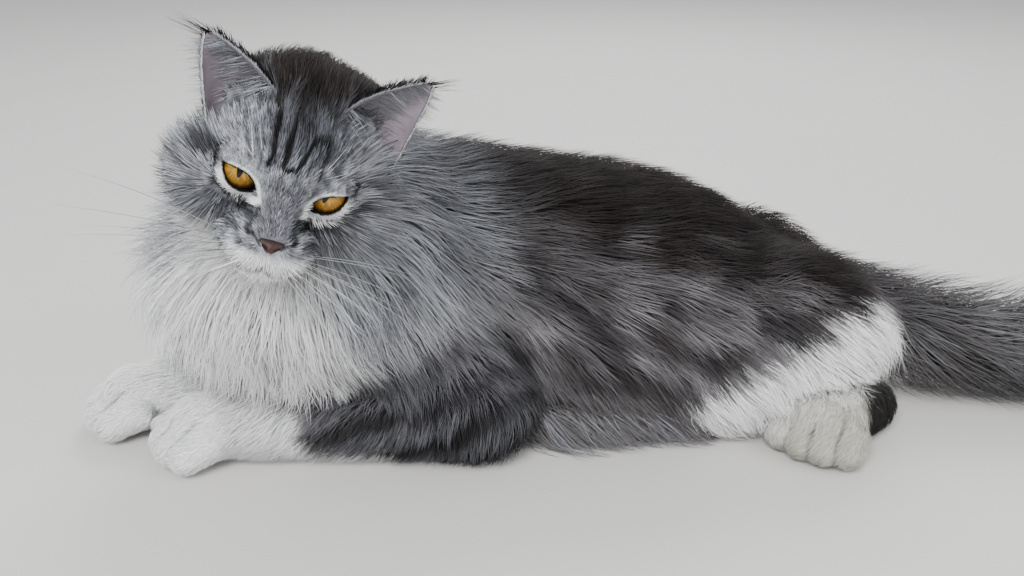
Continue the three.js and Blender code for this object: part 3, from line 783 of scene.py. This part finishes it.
def lie_of_cat(p):
    w = dict(zip(regions, blend_of_regions(p, 14.0).T))
    down = np.clip((165 - p[:, 2]) / 110, 0.05, 1.3)
    one = np.ones(len(p))
    outside = np.sign(p[:, 1] + 8)
    ways = {
        "torso": np.stack([one, 0.8 * outside * (1 - smooth(20, 50, p[:, 2])), -down], -1),
        "neck": unit(p - HEAD_AT) + [-0.1, 0, -0.35],
        "tail": unit(np.stack([one, -0.28 * one, -0.3 * one], -1)),
        "arm": np.stack([0.55 * one, 0 * one, -0.9 * one], -1),
        "forearm": np.stack([-0.8 * one, 0 * one, -0.5 * one], -1),
        "thigh": np.stack([0.8 * one, 0 * one, -0.75 * one], -1),
        "forepaw": np.stack([-one, -0.3 * one, -0.35 * one], -1),
        "hindpaw": np.stack([-0.9 * one, -0.3 * one, -0.45 * one], -1),
        "head": lie_of_face(to_head(p)),
    }
    return sum(w[name][:, None] * unit(way) for name, way in ways.items())


# Roots: scattered over the skin's faces, denser where the hair is shorter
corners = skin_points[skin_quads]
middles = corners.mean(1)
areas = 0.5 * np.linalg.norm(
    np.cross(corners[:, 2] - corners[:, 0], corners[:, 3] - corners[:, 1]), axis=-1
)
of_head = np.arange(len(skin_quads)) >= len(body_quads)
face_region = blend_of_regions(middles).argmax(-1)
middle_q = to_head(middles)
hidden = of_head & (cat(middles, 0) < -4.5)
hidden |= ~of_head & ((cat(middles, 0) < -2.5) | (face_region == ORDER.index("head")))
for side in (1, -1):
    inner = from_eye(middle_q, side) < EYE_RADIUS + GAP + 0.8
    hidden |= of_head & inner
    hidden |= of_head & (eye_opening(middle_q, side) < 1.2) & (from_eye(middle_q, side) < 15)
    hidden |= of_head & (ear_hollow(side, middle_q) < 1.5)
pad = np.linalg.norm((middle_q - [0, -57.5, -20.2]) / [5.6, 6, 3.2], axis=-1)
hidden |= of_head & (pad < 1)
# Each region's hair: mm2 to a tuft, then length, width, thickness, how far it rises, how much it clumps
HAIR = {
    "torso": (3.8, 36, 0.72, 0.4, 0.95, 0.55),
    "neck": (4.2, 50, 0.76, 0.4, 1.15, 0.6),
    "tail": (4.4, 64, 0.95, 0.4, 1.02, 0.35),
    "arm": (3.4, 26, 0.68, 0.38, 0.95, 0.5),
    "forearm": (2.0, 12, 0.52, 0.3, 0.8, 0.3),
    "thigh": (3.6, 28, 0.7, 0.4, 0.95, 0.5),
    "forepaw": (1.4, 5.5, 0.44, 0.28, 0.55, 0.15),
    "hindpaw": (1.6, 7, 0.46, 0.28, 0.6, 0.2),
    "head": (0.95, 15, 0.5, 0.3, 0.85, 0.2),
}
hair = np.array(list(HAIR.values()))
room = hair[face_region, 0]
wanted = np.where(hidden, 0, areas / room)


def scatter(chosen):
    """Roots on the chosen faces, each with its region."""
    count = np.where(chosen, wanted, 0)
    number = np.floor(count + chance.random(len(count))).astype(int)
    face = np.repeat(np.arange(len(count)), number)
    u, v = chance.random((2, len(face), 1))
    a, b, c, d = corners[face].transpose(1, 0, 2)
    return lerp(lerp(a, b, u), lerp(d, c, u), v), face_region[face]


def coat(name, chosen, steps, slot, every):
    roots, region = scatter(chosen)
    share = blend_of_regions(roots)
    length, width, thickness, rise, clump = (share @ hair[:, 1:]).T
    q = to_head(roots)
    in_head = share[:, ORDER.index("head")]
    from_nose = np.linalg.norm(q - [0, -60, -20], axis=-1)
    face_length = lerp(2.6, 22, smooth(14, 88, from_nose))
    face_length += 12 * (1 - smooth(-46, -38, q[:, 2])) * (1 - smooth(16, 30, np.abs(q[:, 0])))
    near_eye = np.minimum(from_eye(q, 1), from_eye(q, -1))
    face_length = np.minimum(face_length, lerp(1.3, 13, smooth(13, 42, near_eye)))
    for side in (1, -1):
        rising, astride, proud = ear_place(side, q)
        before = (1 - smooth(0.9, 1.4, np.abs(astride))) * smooth(-0.9, -0.25, rising)
        before *= proud > -EAR_DEPTH
        face_length = np.minimum(face_length, lerp(30, 4, before))
    length = lerp(length, face_length, in_head)
    in_ruff = share[:, ORDER.index("neck")]
    length *= lerp(1, lerp(0.3, 1, smooth(52, 100, roots[:, 2])), in_ruff)
    low = share[:, ORDER.index("torso")] * (1 - smooth(22, 46, roots[:, 2]))
    length *= 1 + 0.5 * low
    count = len(roots)
    length *= spread(0.7, 1.2, count)
    rise *= spread(0.35, 1.0, count)
    width *= spread(0.7, 1.15, count)
    wander = 0.28 * np.stack([waves(roots, 24, k) for k in (31, 32, 33)], -1)
    wander += 0.13 * chance.normal(size=(count, 3))
    wander *= lerp(1, lerp(0.5, 1.4, smooth(26, 40, q[:, 2])), in_head)[:, None]
    places, outs, ways = grow(roots, lie_of_cat, length, rise, steps, wander)
    pull = clump[:, None, None] * spread(0.4, 1.1, count)[:, None, None]
    places, leader = clumped(roots, places, every, pull)
    settle(places)
    colour = coat_colour(lerp(roots, places[:, 1], 0.5))
    grey = 1 - smooth(0.3, 0.7, colour[:, 1])
    draw = chance.random(count)
    ticked = np.where(draw < 0.24, 0.4, np.where(draw > 0.84, 1.45, 1.0))
    tone = 1 + 0.16 * (2 * chance.random(count) - 1)
    tone *= lerp(1, ticked, grey * lerp(0.35, 1.0, in_head))
    tone *= 1 + 0.14 * grey * chance.normal(size=count)[leader]
    s = np.linspace(0, 1, steps + 1)
    # Along each tuft, painted shade: darker at the roots, deep in the coat, and lighter out to the tips,
    # more so for grey fur than for pale fur.
    deep = np.interp(s, [0, 0.3, 0.7, 1], [0.5, 0.85, 1.1, 1.15])
    light = np.interp(s, [0, 0.3, 0.7, 1], [0.85, 0.97, 1.03, 1.0])
    root_shade = lerp(light, deep, grey[:, None])
    colours = colour[:, None] * (root_shade * tone[:, None])[..., None]
    uvs = unwrap(roots, region)
    limit = int(MOST_TRIANGLES / (6 * steps - 2))
    for k, start in enumerate(range(0, count, limit)):
        part = slice(start, start + limit)
        tufts(
            f"{name}_{k + 1}", places[part], outs[part], ways[part], width[part],
            thickness[part], colours[part], uvs[part], slot,
        )


def among(*names):
    """Faces of the body's skin in the named regions."""
    return np.isin(face_region, [ORDER.index(name) for name in names]) & ~of_head


near_side = middles[:, 1] < -5
coat("coat_face", of_head & (middle_q[:, 1] < -8), 2, "coat_grey", 7)
coat("coat_crown", of_head & (middle_q[:, 1] >= -8), 3, "coat_grey", 9)
coat("coat_ruff", among("neck"), 3, "coat_grey", 14)
coat("coat_near_flank", among("torso") & near_side, 2, "coat_grey", 14)
coat("coat_far_flank", among("torso") & ~near_side, 2, "coat_grey", 14)
coat("coat_tail", among("tail"), 3, "coat_grey", 12)
coat("coat_legs", among("arm", "forearm", "thigh"), 2, "coat_grey", 12)
coat("coat_paws", among("forepaw", "hindpaw"), 2, "coat_white", 9)

# Eyes: a ball whose iris, slit pupil and dark ring are painted round the way it looks
IRIS = 9.9
PUPIL = (1.7, 6.0)
AMBER, HONEY, RIM = paint(116, 80, 18), paint(172, 134, 50), paint(30, 16, 7)


def eye_colour(theta, phi):
    across, up = EYE_RADIUS * np.sin(theta) * np.cos(phi), EYE_RADIUS * np.sin(theta) * np.sin(phi)
    r = np.hypot(across, up)
    rays = np.sin(phi * 37 + 3 * np.sin(phi * 5)) * np.sin(phi * 61 + r)
    colour = mix(HONEY, AMBER, np.clip(smooth(2.5, 8.5, r) + 0.4 * rays, 0, 1))
    colour = mix(colour, RIM, 0.85 * smooth(IRIS - 1.9, IRIS - 0.4, r))
    slit = np.abs(across) - PUPIL[0] * np.sqrt(np.clip(1 - (up / PUPIL[1]) ** 2, 0, 1))
    inside = (1 - smooth(-0.15, 0.25, slit)) * (np.abs(up) < PUPIL[1])
    colour = mix(colour, paint(8, 6, 5), inside)
    return mix(colour, paint(60, 42, 34), smooth(IRIS - 0.1, IRIS + 0.5, r))


def eyeball(side, gaze):
    rings, round_count = 70, 120
    theta = np.concatenate([np.linspace(0, 0.95, 48), np.linspace(1.0, math.pi, rings - 48)])
    phi = np.arange(round_count) * 2 * math.pi / round_count
    th, ph = [g.ravel() for g in np.meshgrid(theta[1:-1], phi, indexing="ij")]
    th, ph = np.append(th, [0, math.pi]), np.append(ph, [0, 0])
    axis = unit(np.array(gaze, float))
    wide = unit(np.cross([0, 0, 1.0], axis))
    tall = np.cross(axis, wide)
    cos, sin = np.cos(th)[:, None], np.sin(th)[:, None]
    ways = axis * cos + (wide * np.cos(ph)[:, None] + tall * np.sin(ph)[:, None]) * sin
    q = np.array([side * EYE[0], EYE[1], EYE[2]]) + EYE_RADIUS * ways
    grid = np.arange((rings - 2) * round_count).reshape(rings - 2, round_count)
    after = np.roll(grid, -1, axis=1)
    poles = np.full((2, round_count), grid.size) + [[0], [1]]
    faces = [
        np.stack([grid[:-1], grid[1:], after[1:]], -1).reshape(-1, 3),
        np.stack([grid[:-1], after[1:], after[:-1]], -1).reshape(-1, 3),
        np.stack([poles[0], grid[0], after[0]], -1),
        np.stack([poles[1], after[-1], grid[-1]], -1),
    ]
    points = from_head(q)
    eye = mesh_piece("eyeball_" + hands[side], points, np.concatenate(faces), eye_colour(th, ph))
    finish_piece(eye, eye_finish, "eye", "eye_" + hands[side])


hands = {1: "left", -1: "right"}
CAMERA_AT = np.array([-189.0, -582.0, 340.0])
eye_finish, nodes, links, shader = new_material("eye_gloss", 0.2, specular=0.1, coat=0.35)
shader.inputs["Coat Roughness"].default_value = 0.02
painted(nodes, links, shader, noise(nodes, links, 1800, 4), 0.75, 1.25)
camera_q = to_head(CAMERA_AT)
for side in (1, -1):
    eyeball(side, unit(camera_q - [side * EYE[0], EYE[1], EYE[2]]) + [0, 0, 0.13])

# Nose: leather between two wings, with comma nostrils and the groove below it


NOSTRIL = cone([2.6, -61.2, -20.8], [5.8, -58.2, -19.8], [0.9, 0.7], [0, 0])


def nose_field(q):
    x = np.abs(q[:, 0])
    mirrored = np.stack([x, q[:, 1], q[:, 2]], -1)
    leather = blended(
        [
            ellipsoid([0, -57.2, -20.6], [3.7, 4.2, 3.6], 0),
            ellipsoid([4.0, -56.4, -19.4], [2.6, 3.2, 2.0], 0),
            cone([0, -57, -22], [0, -57.2, -26], [2.2, 0.8], [0, 0]),
        ],
        2.2,
    )(mirrored, 0)
    groove = np.hypot(x, np.minimum(q[:, 1] + 60.6, 0)) - 0.35
    leather = soft_cut(leather, NOSTRIL(mirrored, 0), 0.5)
    return soft_cut(leather, np.where(q[:, 2] < -21.5, groove, 9), 0.4)


def nose_colour(q):
    x = np.abs(q[:, 0])
    colour = mix(paint(78, 45, 36), paint(54, 31, 27), 0.5 + 0.5 * waves(q, 3, 41))
    edge = np.maximum(smooth(0.2, 1.8, x - 0.6 * (q[:, 2] + 25)), smooth(-19.3, -18.0, q[:, 2]))
    # The nostrils are painted near black: painted shade inside them.
    nostril_shade = 1 - smooth(0.0, 0.9, NOSTRIL(np.stack([x, q[:, 1], q[:, 2]], -1), 0))
    return mix(mix(colour, paint(36, 24, 23), 0.85 * edge), paint(12, 8, 8), nostril_shade)


nose_points, nose_quads = surface_net(nose_field, (-9, -64, -29), (9, -50, -14), 0.3)
nose = mesh_piece("nose_leather", from_head(nose_points), nose_quads, nose_colour(nose_points))
nose_finish, nodes, links, shader = new_material("moist_leather", 0.5, specular=0.3)
pebbles = noise(nodes, links, 1500)
painted(nodes, links, shader, pebbles, 0.8, 1.15)
bump(nodes, links, shader, pebbles, 0.5, 0.0003)
finish_piece(nose, nose_finish, "nose_leather", "nose")

# Ears: thin cups, open to the front


def ear_point(side, t, angle, inset=0.0):
    """Head-frame places: t from base to tip, angle round from the back, positive outward."""
    base, along, across, out = ear_axes(side)
    t, angle = np.broadcast_arrays(t, angle)
    taper = np.clip(1 - t, 0, 1) ** 0.66
    u, v = np.sin(angle), -np.cos(angle)
    deep = np.where(v > 0, EAR_FRONT, EAR_DEPTH) * taper - inset
    swell = np.where(u < 0, 1 + 0.3 * np.sin(math.pi * t), 1.0)
    wide = EARS[side]["width"] * taper * swell - inset
    bow = -4 * np.sin(math.pi * t)
    return (
        base
        + along * t[..., None]
        + across * (u * np.maximum(wide, 0.2))[..., None]
        + out * (v * np.maximum(deep, 0.2) + bow)[..., None]
    )


def ear_sheet(side):
    rows, columns = 26, 30
    t = np.linspace(0, 0.985, rows)[:, None]
    angle = np.linspace(-1.9, 1.9, columns)[None]
    outer = ear_point(side, t, angle).reshape(-1, 3)
    inner = ear_point(side, t, angle, EAR_WALL).reshape(-1, 3)
    index = np.arange(rows * columns).reshape(rows, columns)
    faces = []
    shift = rows * columns

    def strip(a, b, c, d):
        faces.append(np.stack([a, b, c, d], -1).reshape(-1, 4))

    strip(index[:-1, :-1], index[:-1, 1:], index[1:, 1:], index[1:, :-1])
    strip(*(shift + i for i in (index[:-1, 1:], index[:-1, :-1], index[1:, :-1], index[1:, 1:])))
    for line in (index[0], index[-1][::-1], index[:, 0][::-1], index[:, -1]):
        strip(line[:-1], line[:-1] + shift, line[1:] + shift, line[1:])
    points = np.concatenate([outer, inner])
    skin_tone = mix(paint(158, 147, 157), paint(124, 112, 122), 0.5 + 0.5 * waves(points, 15, 51))
    fur_tone = np.tile(lerp(GREY, DARK, 0.5), (shift, 1))
    colours = np.concatenate([fur_tone, skin_tone[shift:]])
    ear = mesh_piece("ear_cup_" + hands[side], from_head(points), np.concatenate(faces), colours)
    finish_piece(ear, ear_finish, "ear_skin", "ear_" + hands[side])


ear_finish, nodes, links, shader = new_material("ear_leather", 0.7, specular=0.3, sheen=0.1)
shader.inputs["Subsurface Weight"].default_value = 0.15
shader.inputs["Subsurface Radius"].default_value = (0.004, 0.002, 0.0015)
veins = noise(nodes, links, 160, 5)
painted(nodes, links, shader, veins, 0.85, 1.12)
bump(nodes, links, shader, veins, 0.2, 0.0006)


def free_hairs(name, roots, ways, droop, length, width, colour, steps, slot="coat_grey", fade=0.9):
    """Hairs off the surface, given in the head's frame, each a curve from its root."""
    s = np.linspace(0, 1, steps + 1)[None, :, None]
    far = length[:, None, None]
    q = roots[:, None] + far * s * unit(ways)[:, None] + far * s**2 * np.asarray(droop)
    places = from_head(q)
    along = unit(np.gradient(places, axis=1))
    side_way = unit(np.cross(along, [0.3, 0.1, 1.0]))
    outs = unit(np.cross(side_way, along))
    outs *= np.where(outs[..., 1:2] > 0, -1, 1)
    tone = colour[:, None] * np.linspace(1, fade, steps + 1)[None, :, None]
    region = np.full(len(roots), ORDER.index("head"))
    uvs = unwrap(from_head(roots), region)
    tufts(name, places, outs, along, width, 0.6 * width, tone, uvs, slot)


def ear_hairs(side, name, extent, angles, count, way, droop, lengths, width, colour, inset=0.0):
    """Hairs rooted on an ear, led by its own axes: along, outward and to the front."""
    base, along, across, out = ear_axes(side)
    t, angle = spread(*extent, count), spread(*angles, count)
    roots = ear_point(side, t, angle, inset)
    axes = np.stack([unit(along), across, out])
    ways = np.array(way) + 0.14 * chance.normal(size=(count, 3))
    shades = colour * spread(0.75, 1.15, count)[:, None]
    length, widths = spread(*lengths, count), width * spread(0.7, 1.2, count)
    bend = np.asarray(droop) @ axes
    free_hairs(f"{name}_{hands[side]}", roots, ways @ axes, bend, length, widths, shades, 4)


# Bands of ear hair: share of the ear's length, angles round it, count, way, droop, lengths, width, colour
BACK, BRIGHT = lerp(GREY, DARK, 0.75), 1.15 * PALE
EDGE_ON, STILL = (0.97, 0.0, 0.1), (0, 0, 0)
EAR_HAIRS = {
    "ear_back": ((0.0, 0.95), (-1.85, 0.8), 1100, (0.9, 0.0, -0.45), (0, 0, 0.2), (4, 8), 0.45, BACK),
    "ear_outside": ((0.0, 0.95), (0.8, 1.8), 420, (0.95, 0.0, -0.35), (0, 0, 0.1), (3, 5), 0.4, GREY),
    "ear_rim_out": ((0.1, 0.97), (1.8, 1.9), 300, EDGE_ON, STILL, (1.5, 3), 0.28, WHITE),
    "ear_rim_in": ((0.1, 0.97), (-1.9, -1.8), 300, EDGE_ON, STILL, (1.5, 3), 0.3, BRIGHT),
    "ear_inside": (
        (0.03, 0.92), (-1.6, 1.0), 1000, (0.25, 1.0, 0.12), STILL, (7, 15), 0.25, BRIGHT, EAR_WALL,
    ),
    "ear_tuft": (
        (0.03, 0.36), (-1.9, -1.4), 220, (0.1, 0.95, 0.4), (-0.3, 0.1, -0.15), (16, 30), 0.3, PALE,
    ),
    "ear_foot": ((0.0, 0.14), (-1.9, 1.9), 320, (0.2, 0.8, 0.5), (-0.25, 0, 0), (7, 16), 0.36, SILVER),
    "ear_tip": ((0.95, 0.98), (-3, 3), 26, (0.8, 0.75, -0.1), (0.1, 0.3, -0.2), (7, 17), 0.34, DARK),
}
for side in (1, -1):
    ear_sheet(side)
    for name, band in EAR_HAIRS.items():
        ear_hairs(side, name, *band)

# Fringe: long hair that spills from the near flank on to the floor


def fringe(name, count, low, high):
    x = spread(low, high, count)
    roots = np.stack([x, spread(-58, -40, count), spread(14, 36, count)], -1)
    for _ in range(4):
        roots -= cat(roots, 0.4)[:, None] * outward(cat, roots, 0.4)
    ways = [spread(0.2, 1.4, count), spread(-0.9, -0.3, count), spread(-1.0, -0.3, count)]
    ways = np.stack(ways, -1)
    s = np.linspace(0, 1, 5)[None, :, None]
    edges = smooth(low, low + 25, x) * (1 - smooth(high - 45, high, x))
    at_elbow = 1 - smooth(-90, -30, x)
    reach = (spread(12, 38, count) * lerp(0.5, 1, edges) * lerp(0.9, 1.35, at_elbow))[:, None, None]
    places = roots[:, None] + reach * (s * unit(ways)[:, None] + s**2 * np.array([0.35, 0.1, -0.35]))
    places[..., 2] = np.maximum(places[..., 2], spread(0.8, 4, count)[:, None])
    along = unit(np.gradient(places, axis=1))
    across = unit(np.cross(along, [0, -0.5, 1.0]))
    outs = unit(np.cross(across, along))
    outs *= np.sign(outs[..., 2:3])
    colour = mix(0.7 * BEIGE, SILVER, chance.random(count) ** 2) * spread(0.6, 1.15, count)[:, None]
    shades = np.repeat(colour[:, None], 5, 1)
    width = spread(0.5, 0.85, count)
    uvs = unwrap(roots, np.full(count, ORDER.index("torso")))
    tufts(name, places, outs, along, width, 0.6 * width, shades, uvs, "coat_grey")


fringe("coat_fringe", 2400, -124, 40)

# Whiskers: four rows of four on each side, and a few above each eye
WHISKER_WIDTH, BROW_WIDTH = 0.72, 0.3
for side in (1, -1):
    rows = [(k, j) for k in range(4) for j in range(4)]
    roots = [[side * (8 + 2.6 * j), -57 + 2.4 * j, -25.5 - 2.4 * k - 0.3 * j] for k, j in rows]
    roots = np.array(roots)
    ways = np.array([[side, -0.45 + 0.2 * j, 0.02 - 0.2 * k + 0.05 * j] for k, j in rows])
    ways += 0.06 * chance.normal(size=ways.shape)
    length = np.array([40 + 13 * j - 4 * abs(k - 1) for k, j in rows]) * spread(0.8, 1.15, 16)
    droop = [side * 0.05, 0.15, -0.25]
    white = WHITE * spread(0.9, 1.0, 16)[:, None]
    width = np.full(16, WHISKER_WIDTH)
    free_hairs("whiskers_" + hands[side], roots, ways, droop, length, width, white, 10, "coat_white")
    count = 4
    roots = [side * spread(13, 20, count), spread(-38, -35, count), spread(9, 12, count)]
    roots = np.stack(roots, -1)
    ways = [side * spread(0.2, 0.8, count), spread(-0.7, -0.3, count), spread(0.7, 1.1, count)]
    ways = np.stack(ways, -1)
    length = spread(22, 38, count)
    white = WHITE * np.ones((count, 1))
    name, width = "brow_whiskers_" + hands[side], np.full(count, BROW_WIDTH)
    free_hairs(name, roots, ways, [0, 0.3, -0.1], length, width, white, 8, "coat_white")

# Painted shade: the skin takes the coat's colours, darkened because it lies deep under the coat.
SKIN_PAINTED_SHADE = 0.75
skin = mesh_piece("skin", skin_points, skin_quads, coat_colour(skin_points) * SKIN_PAINTED_SHADE)
FLESH = ("torso", "neck", "head", "tail", "fore", "hind")
flesh_nodes = [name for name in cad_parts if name.startswith(FLESH)]
finish_piece(skin, skin_fur, "coat_grey", *flesh_nodes)

# Floor, light and the camera at the photograph's angle
PITCH, YAW = math.radians(23.2), math.radians(9.5)
FOCAL_PIXELS, PHOTO_WIDTH = 950, 1024
forward = Vector(
    (math.sin(YAW) * math.cos(PITCH), math.cos(YAW) * math.cos(PITCH), -math.sin(PITCH))
)
rightward = Vector((math.cos(YAW), -math.sin(YAW), 0))
upward = rightward.cross(forward)
camera_data = bpy.data.cameras.new("camera")
camera_data.sensor_width = 36
camera_data.lens = camera_data.sensor_width * FOCAL_PIXELS / PHOTO_WIDTH
camera = bpy.data.objects.new("camera", camera_data)
camera.matrix_world = Matrix.Translation(Vector(CAMERA_AT / 1000)) @ Matrix(
    (rightward, upward, -forward)
).transposed().to_4x4()
bpy.context.scene.collection.objects.link(camera)
bpy.context.scene.camera = camera

FLOOR_HALF, FLOOR_BELOW = 4000, 0.2
floor_points = FLOOR_HALF * np.array([[-1, -1, 0], [1, -1, 0], [1, 1, 0], [-1, 1, 0]], float)
floor = mesh_piece("floor", floor_points - [0, 0, FLOOR_BELOW], np.array([[0, 1, 2, 3]]))
floor_finish, nodes, links, shader = new_material("pale_floor", 0.6)
pale = nodes.new("ShaderNodeRGB")
pale.outputs[0].default_value = (0.62, 0.61, 0.59, 1)
mottled = shaded(nodes, links, pale.outputs[0], noise(nodes, links, 6), 0.97, 1.03)
links.new(mottled, shader.inputs["Base Color"])
floor.data.materials.append(floor_finish)


def area_light(name, place, target, size, power, colour=(1, 1, 1)):
    data = bpy.data.lights.new(name, "AREA")
    data.shape = "DISK"
    data.size = size
    data.energy = power
    data.color = colour
    lamp = bpy.data.objects.new(name, data)
    lamp.location = place
    aim = Vector(target) - Vector(place)
    lamp.rotation_euler = aim.to_track_quat("-Z", "Y").to_euler()
    bpy.context.scene.collection.objects.link(lamp)


area_light("key", (-0.9, -1.6, 1.7), (-0.1, 0, 0.1), 1.1, 70)
area_light("fill", (1.6, -1.4, 1.0), (0, 0, 0.1), 1.6, 24)
area_light("rim", (0.4, 1.5, 1.6), (0, 0, 0.1), 1.2, 30)
world = bpy.data.worlds.new("studio")
world.use_nodes = True
sky = world.node_tree.nodes["Background"]
sky.inputs["Color"].default_value = (0.86, 0.88, 0.9, 1)
sky.inputs["Strength"].default_value = 0.9
bpy.context.scene.world = world
